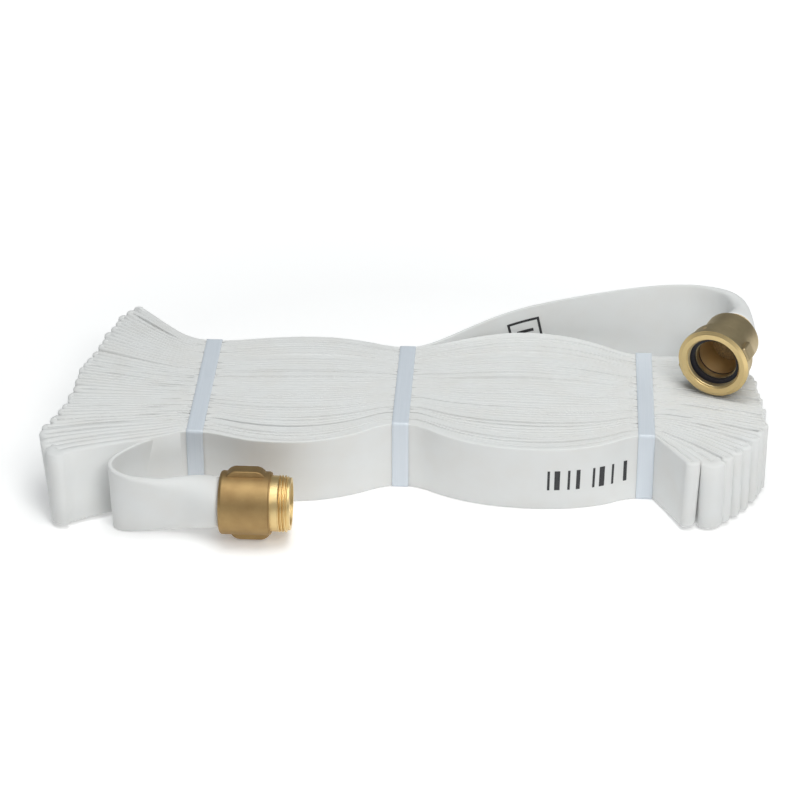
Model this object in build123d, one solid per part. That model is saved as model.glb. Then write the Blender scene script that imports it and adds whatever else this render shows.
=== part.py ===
"""Flaked lay-flat fire hose, 1-1/2 inch by 100 feet, with its two brass couplings.

The hose is folded to and fro in layers that stand on edge and run along X. Three plastic bands hold the
pack. The front layer loops round to the male coupling at the front left. The rear layer climbs behind the
pack and bends forward into the female swivel coupling, which lies above the pack's right end.
Millimetres, +Z up. The origin is on the floor, at the middle of the bundle's footprint.
"""

from build123d import *
import math
import os

os.makedirs("parts", exist_ok=True)

# Hose
HOSE_WIDTH = 66.0
HOSE_FLAT = 2.8
HOSE_ROUND_RADIUS = 22.2
JACKET_WALL = 1.0
LINER_WALL = 0.4
FLOOR_TO_MIDDLE = HOSE_WIDTH / 2

# The layout below is measured from the middle band. This is the footprint's middle in that layout.
FOOTPRINT_X = 8.035
FOOTPRINT_Y = -29.675

# Bands
BAND_WIDTH = 15.0
BAND_THICKNESS = 0.8
BAND_X = {"left_band": -180.0, "middle_band": 4.0, "right_band": 226.0}
BAND_REACH_FRONT = -130.0
BAND_REACH_REAR = 95.0

# Thread, 1-1/2 inch American national fire hose thread, 9 to the inch, right hand
PITCH = 25.4 / 9
MALE_CREST_RADIUS = 25.27
FEMALE_CREST_RADIUS = 23.9
MALE_THREAD_DEPTH = 1.75
MALE_PILOT_RADIUS = 23.4
MALE_PILOT_END = 2.3
MALE_THREAD_END = 10.0
FEMALE_THREAD_DEPTH = 1.55
THREAD_HALF_GAP = 0.36 * PITCH
THREAD_HALF_ROOT = 0.09 * PITCH
CUTTER_LEAD = 0.3
THREAD_LEAD_IN = 1.5 * PITCH

# Inside both couplings
WATERWAY_RADIUS = 19.3
RING_OUTER_RADIUS = HOSE_ROUND_RADIUS - JACKET_WALL - LINER_WALL
LINER_OUTER_RADIUS = HOSE_ROUND_RADIUS - JACKET_WALL
RING_STOPS_SHORT = 1.0
TAIL_GASKET_LENGTH = 2.0
SERRATION_DEPTH = 0.6
SERRATION_PITCH = 4.0

# Male coupling, measured along its axis from the thread's end face
MALE_LENGTH = 63.0
MALE_RELIEF_RADIUS = 24.8
MALE_SHOULDER_START = 17.6
MALE_SHOULDER_RADIUS = 27.6
MALE_BODY_RADIUS = 28.35
MALE_BODY_START = 19.0
MALE_RIM_ROUNDING = 3.0
MALE_GASKET_START = 31.0
MALE_END = (-87.6, -163.0, 33.6)
MALE_LUG_LEAN = 8.0
MALE_LUG_RADIUS = 32.6
MALE_LUG_WIDTH = 15.0
MALE_LUG_START = 21.7
MALE_LUG_BASE = 36.0
MALE_LUG_TOP = 30.0
MALE_LUG_CORNER = 10.0
MALE_LUG_STAGGER = 3.6

# Female coupling, measured along its axis from the mouth
FEMALE_LENGTH = 52.5
FEMALE_MOUTH = (285.6, -13.4, 102.6)
FEMALE_YAW = 22.1
FEMALE_DIP = 2.7
FEMALE_LUG_ROLL = 26.5
FLANGE_RADIUS = 33.5
FLANGE_FACE_RADIUS = 30.2
MOUTH_RADIUS = 25.6
SWIVEL_RADIUS = 30.8
SWIVEL_LENGTH = 22.0
THREAD_END = 6.9
GASKET_SEAT_RADIUS = 26.6
GASKET_SEAT_END = 10.3
GASKET_BORE_RADIUS = 20.2
BOWL_RADIUS = 25.2
BOWL_OUTER_RADIUS = 26.0
BOWL_START = 10.4
RUNNING_CLEARANCE = 0.08
FEMALE_GASKET_START = 16.0
FEMALE_LUG_RADIUS = 35.4
FEMALE_LUG_WIDTH = 13.0
FEMALE_LUG_START = 1.2
FEMALE_LUG_BASE = 18.5
FEMALE_LUG_TOP = 14.5
FEMALE_LUG_CORNER = 2.5

LUG_ROUNDING = 1.2

# Swivel race
BALL_COUNT = 36
BALL_RADIUS = 1.9
BALL_PHASE = 0.1
RACE_RADIUS = BOWL_RADIUS + RUNNING_CLEARANCE / 2
RACE_GROOVE_RADIUS = 2.0
RACE_STATION = 14.0
PLUG_HOLE_RADIUS = 2.1
PLUG_RADIUS = 2.08
PLUG_ROLL = 90.0

# Route of the front layer, from the right band to the male coupling, and of the rear layer, from the left
# band to the female coupling: middle of the hose, each height being that of the flat hose's middle.
LEFT_BAND_FRONT = [(-166, -94.2), (-187, -93.4)]
FRONT_LAYER = [
    (236, -79), (214, -81), (186, -99), (142, -109), (90, -106), (48, -92), (18, -70.5), (-10, -71.5),
    (-40, -93), (-80, -106.5), (-128, -106), *LEFT_BAND_FRONT, (-206, -102), (-232, -122),
]
MALE_LOOP = [(-249, -145), (-247, -162), (-229, -170), (-203, -168.5), (-185, -164.5)]
MALE_ROUTE = [(x, y, FLOOR_TO_MIDDLE) for x, y in FRONT_LAYER + MALE_LOOP]
REAR_LAYER = [(-166, 75), (-140, 80.5), (-104, 86.6), (-68, 87.2), (-38, 81), (-12, 71.2), (14, 70.6)]
FEMALE_CLIMB = [
    (40, 83.5, 37), (72, 99.5, 44.5), (108, 110.5, 54), (150, 113, 63.5), (196, 111.5, 73.5),
    (240, 107, 83), (272, 101.5, 88), (297, 93, 90.5), (311, 82, 92), (316, 70, 93.5),
]
FEMALE_ROUTE = [(x, y, FLOOR_TO_MIDDLE) for x, y in REAR_LAYER] + FEMALE_CLIMB
NECK_LENGTH = 22.0
FEMALE_NECK_DROP = 9.0

# Outline of the folded pack from above. It follows the two outer layers, and its ends are the fans of folds.
RIGHT_FAN = [
    (247, -104), (262, -133.5), (291, -132), (306, -113), (324, -88), (332.5, -58), (331, -14),
    (325, 24), (314, 52), (290, 63), (258, 64.5),
]
RIGHT_BAND_REAR = [(235, 66.5), (214, 68.5)]
REAR_RIGHT_BULGE = [(184, 90), (150, 104)]
REAR_LEFT = [(-190, 75.5), (-230, 106), (-258, 132)]
LEFT_FAN = [
    (-272, 132), (-277, 100), (-284, 66), (-294, 40), (-298, 0), (-305, -50), (-313, -90), (-317.5, -125),
    (-305, -159), (-272, -146),
]

LOW = (Align.CENTER, Align.CENTER, Align.MIN)


def bend_radii(points, closed=False):
    """Each corner's radius: 0.45 of its shorter run, divided by the tangent of half the turn."""
    corners = list(zip(points, points[1:], points[2:]))
    if closed:
        corners = list(zip([points[-1], *points], points, [*points[1:], points[0]]))
    radii = []
    for before, corner, after in corners:
        run_in = Vector(*corner) - Vector(*before)
        run_out = Vector(*after) - Vector(*corner)
        half_turn = math.radians(run_in.get_angle(run_out)) / 2
        radii.append(0.45 * min(run_in.length, run_out.length) / math.tan(half_turn))
    return radii


def route(name, points):
    """Straight runs joined by tangent arcs, with the radii and the length printed."""
    radii = bend_radii(points)
    path = FilletPolyline(*points, radius=radii)
    print(name, "radii", [round(radius) for radius in radii], "length", round(path.length, 1))
    return path


def ribbon(name, points):
    """Flat hose on edge along a route."""
    path = route(name, points)
    section = Plane(origin=points[0], x_dir=(0, 0, 1), z_dir=path % 0) * Rectangle(HOSE_WIDTH, HOSE_FLAT)
    overhead = Wire([Pos(0, 0, 6 * HOSE_WIDTH) * edge for edge in path.edges()])
    solid = sweep(section, path=path, binormal=overhead)
    print(name, "volume over section times length", round(solid.volume / (section.area * path.length), 3))
    return solid


def neck(end_plane, drop):
    """The hose from round, where it enters a coupling, to flat and drop lower. The plane faces outwards."""
    stations = [
        (0, HOSE_ROUND_RADIUS, HOSE_ROUND_RADIUS),
        (0.45, 27, 12),
        (1, FLOOR_TO_MIDDLE, HOSE_FLAT / 2 + 0.4),
    ]
    sections = [
        end_plane.offset(share * NECK_LENGTH) * Pos(-share * drop, 0) * Ellipse(half_width, half_thickness)
        for share, half_width, half_thickness in stations
    ]
    return loft(sections)


def neck_end(end_plane, drop):
    """Where the flat hose stops, a little inside the neck."""
    return tuple((end_plane.offset(NECK_LENGTH - 3) * Pos(-drop, 0, 0)).position)


def ring(inner_radius, outer_radius, start, end):
    """Plain tube between two stations on a coupling's axis."""
    tube = Cylinder(outer_radius, end - start, align=LOW) - Cylinder(inner_radius, end - start, align=LOW)
    return Pos(0, 0, start) * tube


def turned(outline):
    """Solid turned about a coupling's axis from an outline of (radius, station) points."""
    return revolve(Plane.XZ * make_face(Polyline(*outline, close=True)), Axis.Z)


def thread_groove(crest_radius, depth, start, end):
    """Helical V groove between two stations. A negative depth cuts inwards, for an external thread."""
    side = math.copysign(1, depth)
    helix = Pos(0, 0, start - THREAD_LEAD_IN) * Helix(
        pitch=PITCH, height=end - start + 2 * THREAD_LEAD_IN, radius=crest_radius
    )
    mouth = crest_radius - side * CUTTER_LEAD
    half_mouth = THREAD_HALF_GAP + CUTTER_LEAD * (THREAD_HALF_GAP - THREAD_HALF_ROOT) / abs(depth)
    root = crest_radius + depth
    middle = start - THREAD_LEAD_IN
    outline = [
        (mouth, middle - half_mouth), (mouth, middle + half_mouth),
        (root, middle + THREAD_HALF_ROOT), (root, middle - THREAD_HALF_ROOT),
    ]
    groove = sweep(Plane.XZ * make_face(Polyline(*outline, close=True)), path=helix, is_frenet=True)
    return groove & ring(WATERWAY_RADIUS, FLANGE_RADIUS, start, end)


def threaded(blank, groove):
    """The blank less its thread. A cut that leaves the blank whole raises an error."""
    cut = blank - groove
    removed = (blank.volume - cut.volume) / groove.volume
    print("thread cut", round(removed, 2), "of its groove's volume")
    if removed < 0.3:
        raise ValueError("the thread wasn't cut")
    return cut


def serrations(start):
    """Rings cut in a bowl's bore, which bite the hose's jacket."""
    grooves = []
    for index in range(6):
        station = start + SERRATION_PITCH * index
        grooves.append(
            turned([
                (HOSE_ROUND_RADIUS - 0.1, station),
                (HOSE_ROUND_RADIUS + SERRATION_DEPTH, station + SERRATION_PITCH * 0.7),
                (HOSE_ROUND_RADIUS - 0.1, station + SERRATION_PITCH * 0.75),
            ])
        )
    return grooves


def lug(inner_radius, outer_radius, start, base, top, corner, width, roll):
    """Rocker lug: a low bar with sloping, rounded ends, on the side that roll gives."""
    slope = (base - top) / 2
    outline = [
        (inner_radius, start), (inner_radius, start + base),
        (outer_radius, start + base - slope), (outer_radius, start + slope),
    ]
    side = make_face(Polyline(*outline, close=True))
    side = fillet(side.vertices().group_by(Axis.X)[-1], corner)
    bar = extrude(Plane.XZ * side, amount=width / 2, both=True)
    long_edges = bar.edges().filter_by(Axis.Z).group_by(Axis.X)[-1]
    return Rot(0, 0, roll) * fillet(long_edges, LUG_ROUNDING)


def male_body():
    """Pilot, thread, relief, shoulder and bowl in one brass casting, with two rocker lugs."""
    outline = [
        (WATERWAY_RADIUS, 0), (MALE_PILOT_RADIUS - 0.4, 0), (MALE_PILOT_RADIUS, 0.4),
        (MALE_PILOT_RADIUS, MALE_PILOT_END), (MALE_CREST_RADIUS, MALE_PILOT_END + 1.2),
        (MALE_CREST_RADIUS, MALE_THREAD_END), (MALE_RELIEF_RADIUS, MALE_THREAD_END + 1.0),
        (MALE_RELIEF_RADIUS, MALE_SHOULDER_START), (MALE_SHOULDER_RADIUS, MALE_SHOULDER_START),
        (MALE_SHOULDER_RADIUS, MALE_BODY_START - 0.4), (MALE_BODY_RADIUS, MALE_BODY_START),
        (MALE_BODY_RADIUS, MALE_LENGTH),
        (HOSE_ROUND_RADIUS, MALE_LENGTH), (HOSE_ROUND_RADIUS, MALE_GASKET_START),
        (WATERWAY_RADIUS, MALE_GASKET_START),
    ]
    body = turned(outline)
    rim = body.edges().filter_by(GeomType.CIRCLE).group_by(Axis.Z)[-1]
    body = fillet(rim.sort_by(SortBy.RADIUS)[-1], MALE_RIM_ROUNDING)
    body = threaded(body, thread_groove(
        MALE_CREST_RADIUS, -MALE_THREAD_DEPTH, MALE_PILOT_END, MALE_THREAD_END
    ))
    for groove in serrations(MALE_GASKET_START + TAIL_GASKET_LENGTH + SERRATION_PITCH):
        body -= groove
    for roll, stagger in ((0, 0), (180, MALE_LUG_STAGGER)):
        body += lug(
            MALE_BODY_RADIUS - 2.5, MALE_LUG_RADIUS, MALE_LUG_START - stagger,
            MALE_LUG_BASE, MALE_LUG_TOP, MALE_LUG_CORNER, MALE_LUG_WIDTH, roll,
        )
    return body


def race_groove():
    """One ring that cuts its half of the ball race from each of the two pieces."""
    return Pos(0, 0, RACE_STATION) * Torus(RACE_RADIUS, RACE_GROOVE_RADIUS)


def swivel_ring():
    """Threaded mouth with its flange and lugs, and the outer half of the ball race."""
    bore = BOWL_RADIUS + RUNNING_CLEARANCE
    outline = [
        (MOUTH_RADIUS, 0), (FEMALE_CREST_RADIUS, 1.9), (FEMALE_CREST_RADIUS, THREAD_END),
        (GASKET_SEAT_RADIUS, THREAD_END), (GASKET_SEAT_RADIUS, GASKET_SEAT_END),
        (bore, GASKET_SEAT_END), (bore, SWIVEL_LENGTH), (SWIVEL_RADIUS - 0.8, SWIVEL_LENGTH),
        (SWIVEL_RADIUS, SWIVEL_LENGTH - 0.8), (SWIVEL_RADIUS, 8.0), (FLANGE_RADIUS, 5.4),
        (FLANGE_RADIUS, 1.6), (FLANGE_FACE_RADIUS, 0),
    ]
    swivel = turned(outline)
    swivel = threaded(swivel, thread_groove(
        FEMALE_CREST_RADIUS, FEMALE_THREAD_DEPTH, -0.5, THREAD_END
    ))
    for roll in (0, 180):
        swivel += lug(
            SWIVEL_RADIUS - 1.4, FEMALE_LUG_RADIUS, FEMALE_LUG_START,
            FEMALE_LUG_BASE, FEMALE_LUG_TOP, FEMALE_LUG_CORNER, FEMALE_LUG_WIDTH, roll,
        )
    swivel -= race_groove()
    hole = Cylinder(PLUG_HOLE_RADIUS, SWIVEL_RADIUS, align=LOW)
    return swivel - Rot(0, 0, PLUG_ROLL) * Pos(BOWL_RADIUS, 0, RACE_STATION) * Rot(0, 90, 0) * hole


def ball_plug():
    """Headless slotted screw that shuts the hole where the balls go in."""
    inner_end = RACE_RADIUS + BALL_RADIUS + 0.25
    length = SWIVEL_RADIUS - 0.15 - inner_end
    screw = Cylinder(PLUG_RADIUS, length, align=LOW)
    screw -= Pos(0, 0, length) * Box(0.6, 3 * PLUG_RADIUS, 1.0)
    return Rot(0, 0, PLUG_ROLL) * Pos(inner_end, 0, RACE_STATION) * Rot(0, 90, 0) * screw


def swivel_balls():
    """Balls evenly round the race."""
    step = 360 / BALL_COUNT
    return [
        Rot(0, 0, (index + BALL_PHASE) * step) * Pos(RACE_RADIUS, 0, RACE_STATION) * Sphere(BALL_RADIUS)
        for index in range(BALL_COUNT)
    ]


def female_bowl():
    """Tailpiece: a plain bowl whose front end turns in the swivel ring."""
    outline = [
        (WATERWAY_RADIUS, BOWL_START), (BOWL_RADIUS - 0.5, BOWL_START), (BOWL_RADIUS, BOWL_START + 0.5),
        (BOWL_RADIUS, SWIVEL_LENGTH + 0.5), (BOWL_OUTER_RADIUS, SWIVEL_LENGTH + 1.3),
        (BOWL_OUTER_RADIUS, FEMALE_LENGTH), (HOSE_ROUND_RADIUS, FEMALE_LENGTH),
        (HOSE_ROUND_RADIUS, FEMALE_GASKET_START), (WATERWAY_RADIUS, FEMALE_GASKET_START),
    ]
    bowl = turned(outline)
    rim = bowl.edges().filter_by(GeomType.CIRCLE).group_by(Axis.Z)[-1]
    bowl = fillet(rim.sort_by(SortBy.RADIUS)[-1], 1.5)
    bowl -= race_groove()
    for groove in serrations(FEMALE_GASKET_START + TAIL_GASKET_LENGTH + 3):
        bowl -= groove
    return bowl


def hose_end(prefix, gasket_start, coupling_end):
    """What holds the hose in a bowl: gasket, liner and jacket ends, and the expansion ring inside them."""
    start = gasket_start + TAIL_GASKET_LENGTH
    ring_end = coupling_end - RING_STOPS_SHORT
    return {
        f"{prefix}_tail_gasket": ring(WATERWAY_RADIUS, HOSE_ROUND_RADIUS - 0.05, gasket_start, start),
        f"{prefix}_hose_end_jacket": ring(LINER_OUTER_RADIUS, HOSE_ROUND_RADIUS, start, coupling_end),
        f"{prefix}_hose_end_liner": ring(RING_OUTER_RADIUS, LINER_OUTER_RADIUS, start, coupling_end),
        f"{prefix}_expansion_ring": ring(WATERWAY_RADIUS, RING_OUTER_RADIUS, start, ring_end),
    }


def pack_outline():
    """The pack from above, as one closed line of runs and arcs."""
    shared_rear = [(x, y) for x, y, *_ in reversed(REAR_LAYER + FEMALE_CLIMB[:3])]
    points = [*reversed(FRONT_LAYER), *RIGHT_FAN, *RIGHT_BAND_REAR, *REAR_RIGHT_BULGE, *shared_rear]
    points += [*REAR_LEFT, *LEFT_FAN]
    return FilletPolyline(*points, radius=bend_radii(points, closed=True), close=True)


def band(name, hose):
    """A band round the pack. Its lower run lies in a shallow groove, so the hose still reaches the floor."""
    x = BAND_X[name]
    reach = BAND_REACH_REAR - BAND_REACH_FRONT
    slab = Pos(x, BAND_REACH_FRONT + reach / 2, 0) * Box(BAND_WIDTH, reach, HOSE_WIDTH, align=LOW)
    box = (slab & hose).bounding_box()
    depth = box.size.Y + 2 * BAND_THICKNESS
    outside = Box(BAND_WIDTH, depth, HOSE_WIDTH + BAND_THICKNESS, align=LOW)
    inside = Pos(0, 0, BAND_THICKNESS) * Box(
        BAND_WIDTH, box.size.Y, HOSE_WIDTH - BAND_THICKNESS, align=LOW
    )
    place = Pos(x, (box.min.Y + box.max.Y) / 2, 0)
    edges = outside.edges().filter_by(Axis.X).sort_by(Axis.Z)[-2:]
    return place * (fillet(edges, 1.5) - inside)


male_axis_out = Vector(-1, 0, 0)
male_plane = Plane(
    origin=MALE_END,
    x_dir=(0, math.sin(math.radians(MALE_LUG_LEAN)), math.cos(math.radians(MALE_LUG_LEAN))),
    z_dir=male_axis_out,
)
yaw, dip, lug_roll = (math.radians(angle) for angle in (FEMALE_YAW, FEMALE_DIP, FEMALE_LUG_ROLL))
female_axis_out = Vector(
    math.sin(yaw) * math.cos(dip), math.cos(yaw) * math.cos(dip), math.sin(dip)
)
female_side = Vector(-math.cos(yaw), math.sin(yaw), 0)
female_up = female_axis_out.cross(female_side)
female_plane = Plane(
    origin=FEMALE_MOUTH,
    x_dir=female_side * math.cos(lug_roll) - female_up * math.sin(lug_roll),
    z_dir=female_axis_out,
)
male_back = Plane(
    origin=male_plane.offset(MALE_LENGTH).origin, x_dir=(0, 0, 1), z_dir=male_axis_out
)
female_back = Plane(
    origin=female_plane.offset(FEMALE_LENGTH).origin, x_dir=female_up, z_dir=female_axis_out
)

nodes = {
    "male_coupling_body": male_plane * male_body(),
    "female_swivel_ring": female_plane * swivel_ring(),
    "female_bowl": female_plane * female_bowl(),
    "ball_plug": female_plane * ball_plug(),
    "swivel_balls": Compound(children=[female_plane * ball for ball in swivel_balls()]),
    "thread_gasket": female_plane
    * ring(GASKET_BORE_RADIUS, GASKET_SEAT_RADIUS - 0.2, THREAD_END + 0.1, GASKET_SEAT_END - 0.1),
}
for name, shape in hose_end("male", MALE_GASKET_START, MALE_LENGTH).items():
    nodes[name] = male_plane * shape
for name, shape in hose_end("female", FEMALE_GASKET_START, FEMALE_LENGTH).items():
    nodes[name] = female_plane * shape

male_tail = ribbon("male_tail_hose", [*MALE_ROUTE, neck_end(male_back, 0)])
female_tail = ribbon("female_tail_hose", [*FEMALE_ROUTE, neck_end(female_back, FEMALE_NECK_DROP)])
pack = extrude(make_face(pack_outline()), amount=HOSE_WIDTH) - male_tail - female_tail
pack = pack.solids().sort_by(SortBy.VOLUME)[-1]
male_tail += neck(male_back, 0)
female_tail += neck(female_back, FEMALE_NECK_DROP)
whole_hose = Compound(children=[Solid(pack.wrapped), *male_tail.solids(), *female_tail.solids()])
bands = {name: band(name, whole_hose) for name in BAND_X}
for name, loop in bands.items():
    pack -= loop
    male_tail -= loop
    female_tail -= loop
nodes.update(bands)
nodes["folded_hose_pack"] = pack
nodes["male_tail_hose"] = male_tail
nodes["female_tail_hose"] = female_tail

for name, shape in nodes.items():
    export_step(Pos(-FOOTPRINT_X, -FOOTPRINT_Y, 0) * shape, f"parts/{name}.step")
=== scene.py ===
import math

import bpy
import numpy as np
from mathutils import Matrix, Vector


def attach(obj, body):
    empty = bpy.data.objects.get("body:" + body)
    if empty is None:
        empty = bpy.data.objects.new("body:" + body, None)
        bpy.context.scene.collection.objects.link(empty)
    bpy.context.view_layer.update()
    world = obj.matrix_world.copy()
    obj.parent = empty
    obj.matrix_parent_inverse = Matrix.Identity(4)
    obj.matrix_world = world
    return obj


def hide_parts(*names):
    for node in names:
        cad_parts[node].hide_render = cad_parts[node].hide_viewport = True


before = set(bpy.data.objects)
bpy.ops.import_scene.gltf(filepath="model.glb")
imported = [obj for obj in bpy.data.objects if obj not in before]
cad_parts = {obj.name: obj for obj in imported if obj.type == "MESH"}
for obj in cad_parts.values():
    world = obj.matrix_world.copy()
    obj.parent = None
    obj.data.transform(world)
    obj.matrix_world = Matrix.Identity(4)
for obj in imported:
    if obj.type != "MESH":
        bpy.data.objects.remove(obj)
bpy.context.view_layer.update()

# Metres. The layout is measured from the middle band, as in the CAD source.
# FOOTPRINT is the row frame's origin in that layout.
FOOTPRINT = np.array([0.008035, -0.029675, 0.0])
HOSE_WIDTH = 0.066
HALF_WIDTH = HOSE_WIDTH / 2
ROUND_RADIUS = 0.0222
BAND_WIDTH = 0.015
BAND_THICKNESS = 0.0005
BAND_X = {"left_band": -0.180, "middle_band": 0.004, "right_band": 0.226}
LAYERS = 49
rng = np.random.default_rng(149)


def normalised(vectors):
    return vectors / np.linalg.norm(vectors, axis=-1, keepdims=True)


def smoothstep(low, high, value):
    share = np.clip((value - low) / (high - low), 0, 1)
    return share * share * (3 - 2 * share)


def near_band(x, reach):
    """1 under a band, falling to 0 at reach from its edge."""
    outside = [np.abs(x - middle) - BAND_WIDTH / 2 for middle in BAND_X.values()]
    return 1 - smoothstep(0, reach, np.min(outside, axis=0))


def bulge(x):
    """0 at the bands and 1 midway between them."""
    left, middle, right = BAND_X.values()
    first = np.sin(np.pi * np.clip((x - left) / (middle - left), 0, 1))
    second = np.sin(np.pi * np.clip((x - middle) / (right - middle), 0, 1))
    return np.clip(first + second, 0, 1)


# ---------------------------------------------------------------- camera
AZIMUTH = math.radians(3.0)
ELEVATION = math.radians(30.0)
DISTANCE = 2.747
LENS = 132.9
SHIFT_Y = 0.01875
TARGET = Vector((-0.008035, 0.029675, 0.033))


def make_camera():
    camera = bpy.data.objects.new("camera", bpy.data.cameras.new("camera"))
    bpy.context.scene.collection.objects.link(camera)
    back = Vector((
        math.sin(AZIMUTH) * math.cos(ELEVATION),
        -math.cos(AZIMUTH) * math.cos(ELEVATION),
        math.sin(ELEVATION),
    ))
    camera.location = TARGET + back * DISTANCE
    camera.rotation_euler = (-back).to_track_quat("-Z", "Y").to_euler()
    camera.data.lens = LENS
    camera.data.shift_y = SHIFT_Y
    camera.data.clip_start = 0.05
    camera.data.clip_end = 50.0
    bpy.context.scene.camera = camera


make_camera()


# ---------------------------------------------------------------- routes of the two free ends
Z_ON_FLOOR = HALF_WIDTH
FRONT_LAYER = [
    (0.236, -0.079), (0.214, -0.081), (0.186, -0.099), (0.142, -0.109), (0.090, -0.106), (0.048, -0.092),
    (0.018, -0.0705), (-0.010, -0.0715), (-0.040, -0.093), (-0.080, -0.1065), (-0.128, -0.106),
    (-0.166, -0.0942), (-0.187, -0.0934), (-0.206, -0.102), (-0.232, -0.122),
]
MALE_LOOP = [(-0.249, -0.145), (-0.247, -0.162), (-0.229, -0.170), (-0.203, -0.1685), (-0.185, -0.1645)]
MALE_NECK_END = (-0.1696, -0.163, 0.0336)
MALE_BACK = (-0.1506, -0.163, 0.0336)
MALE_ROUTE = [(x, y, Z_ON_FLOOR) for x, y in FRONT_LAYER + MALE_LOOP] + [MALE_NECK_END, MALE_BACK]

# The female end's first point lies under the left band, where the folded pack hands over to it.
REAR_LAYER = [
    (-0.180, 0.0753), (-0.166, 0.075), (-0.140, 0.0805), (-0.104, 0.0866), (-0.068, 0.0872),
    (-0.038, 0.081), (-0.012, 0.0712), (0.014, 0.0706),
]
FEMALE_CLIMB = [
    (0.040, 0.0835, 0.037), (0.072, 0.0995, 0.0445), (0.108, 0.1105, 0.054), (0.150, 0.113, 0.0635),
    (0.196, 0.1115, 0.0735), (0.240, 0.107, 0.083), (0.272, 0.1015, 0.088), (0.297, 0.093, 0.0905),
    (0.311, 0.082, 0.092), (0.316, 0.070, 0.0935),
]
FEMALE_MOUTH = np.array([0.2856, -0.0134, 0.1026])
FEMALE_YAW = math.radians(22.1)
FEMALE_DIP = math.radians(2.7)
FEMALE_LENGTH = 0.0525
FEMALE_AXIS = np.array([
    math.sin(FEMALE_YAW) * math.cos(FEMALE_DIP),
    math.cos(FEMALE_YAW) * math.cos(FEMALE_DIP),
    math.sin(FEMALE_DIP),
])
FEMALE_BACK = FEMALE_MOUTH + FEMALE_LENGTH * FEMALE_AXIS
FEMALE_NECK_END = FEMALE_BACK + 0.019 * FEMALE_AXIS + np.array([0, 0, -0.009])
FEMALE_ROUTE = [(x, y, Z_ON_FLOOR) for x, y in REAR_LAYER] + FEMALE_CLIMB
FEMALE_ROUTE += [tuple(FEMALE_NECK_END), tuple(FEMALE_BACK)]


def spline_line(points):
    """Points along a smooth NURBS spline with these control points."""
    curve = bpy.data.curves.new("guide", "CURVE")
    curve.dimensions = "3D"
    curve.resolution_u = 32
    spline = curve.splines.new("NURBS")
    spline.points.add(len(points) - 1)
    for control, place in zip(spline.points, points):
        control.co = (*place, 1.0)
    spline.order_u = 3
    spline.use_endpoint_u = True
    guide = bpy.data.objects.new("guide", curve)
    bpy.context.scene.collection.objects.link(guide)
    evaluated = guide.evaluated_get(bpy.context.evaluated_depsgraph_get())
    mesh = bpy.data.meshes.new_from_object(evaluated)
    line = np.array([vertex.co for vertex in mesh.vertices])
    bpy.data.objects.remove(guide)
    bpy.data.curves.remove(curve)
    bpy.data.meshes.remove(mesh)
    return line


def arc_lengths(line):
    return np.concatenate([[0], np.cumsum(np.linalg.norm(np.diff(line, axis=0), axis=1))])


def along(line, stations):
    """Points at these arc lengths on a line."""
    at = arc_lengths(line)
    return np.stack([np.interp(stations, at, line[:, i]) for i in range(3)], axis=1)


# ---------------------------------------------------------------- the hose's surface
END_POINTS = 5
SIDE_POINTS = 2


def section_points(end_points, side_points):
    """Round a section: (across, up, straight) for each point, with rounded ends above and below."""
    top = np.linspace(0, math.pi, end_points)
    inner = np.linspace(1, -1, side_points + 2)[1:-1]
    rows = [(math.cos(t), math.sin(t), 1) for t in top]
    rows += [(-1, 0, s) for s in inner]
    rows += [(-math.cos(t), -math.sin(t), -1) for t in top]
    rows += [(1, 0, -s) for s in inner]
    return np.array(rows)


SQUARENESS = 0.8


def hose_rings(centres, sides, ups, high, thick, rounding, roundness, end_points, side_points):
    """Rings of points: a flat section with rounded ends, blended into an ellipse by roundness."""
    unit = section_points(end_points, side_points)
    count = len(unit)
    turn = math.pi / 2 + (np.arange(count) - (end_points - 1) / 2) * 2 * math.pi / count
    blend = roundness[:, None]
    across = np.sign(unit[:, 0]) * np.abs(unit[:, 0]) ** SQUARENESS * thick[:, None]
    end = np.sign(unit[:, 1]) * np.abs(unit[:, 1]) ** SQUARENESS * rounding[:, None]
    up = end + unit[:, 2] * (high - rounding)[:, None]
    across = across * (1 - blend) + np.cos(turn) * thick[:, None] * blend
    up = up * (1 - blend) + np.sin(turn) * high[:, None] * blend
    return centres[:, None] + across[:, :, None] * sides[:, None] + up[:, :, None] * ups[:, None]


def tube_mesh(name, rings, arc):
    """A closed tube through the rings, with UVs in metres: along the hose and round it."""
    count, around = rings.shape[:2]
    mesh = bpy.data.meshes.new(name)
    ring, point = np.meshgrid(np.arange(count - 1), np.arange(around), indexing="ij")
    after = (point + 1) % around
    quads = np.stack([
        ring * around + point, ring * around + after,
        (ring + 1) * around + after, (ring + 1) * around + point,
    ], axis=-1).reshape(-1, 4)
    faces = quads.tolist()
    faces.append(list(range(around))[::-1])
    faces.append([(count - 1) * around + i for i in range(around)])
    mesh.from_pydata((rings.reshape(-1, 3) - FOOTPRINT).tolist(), [], faces)
    middle = rings[count // 2]
    steps = np.linalg.norm(np.roll(middle, -1, axis=0) - middle, axis=1)
    girth = np.concatenate([[0], np.cumsum(steps)])
    u = np.stack([arc[ring], arc[ring], arc[ring + 1], arc[ring + 1]], axis=-1).reshape(-1)
    v = np.stack([girth[point], girth[point + 1], girth[point + 1], girth[point]], axis=-1).reshape(-1)
    uv = np.zeros((len(mesh.loops), 2), np.float32)
    uv[:len(u), 0] = u
    uv[:len(v), 1] = v
    mesh.uv_layers.new(name="weave").data.foreach_set("uv", uv.ravel())
    mesh.polygons.foreach_set("use_smooth", [True] * len(mesh.polygons))
    mesh.update()
    piece = bpy.data.objects.new(name, mesh)
    bpy.context.scene.collection.objects.link(piece)
    return piece


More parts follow.
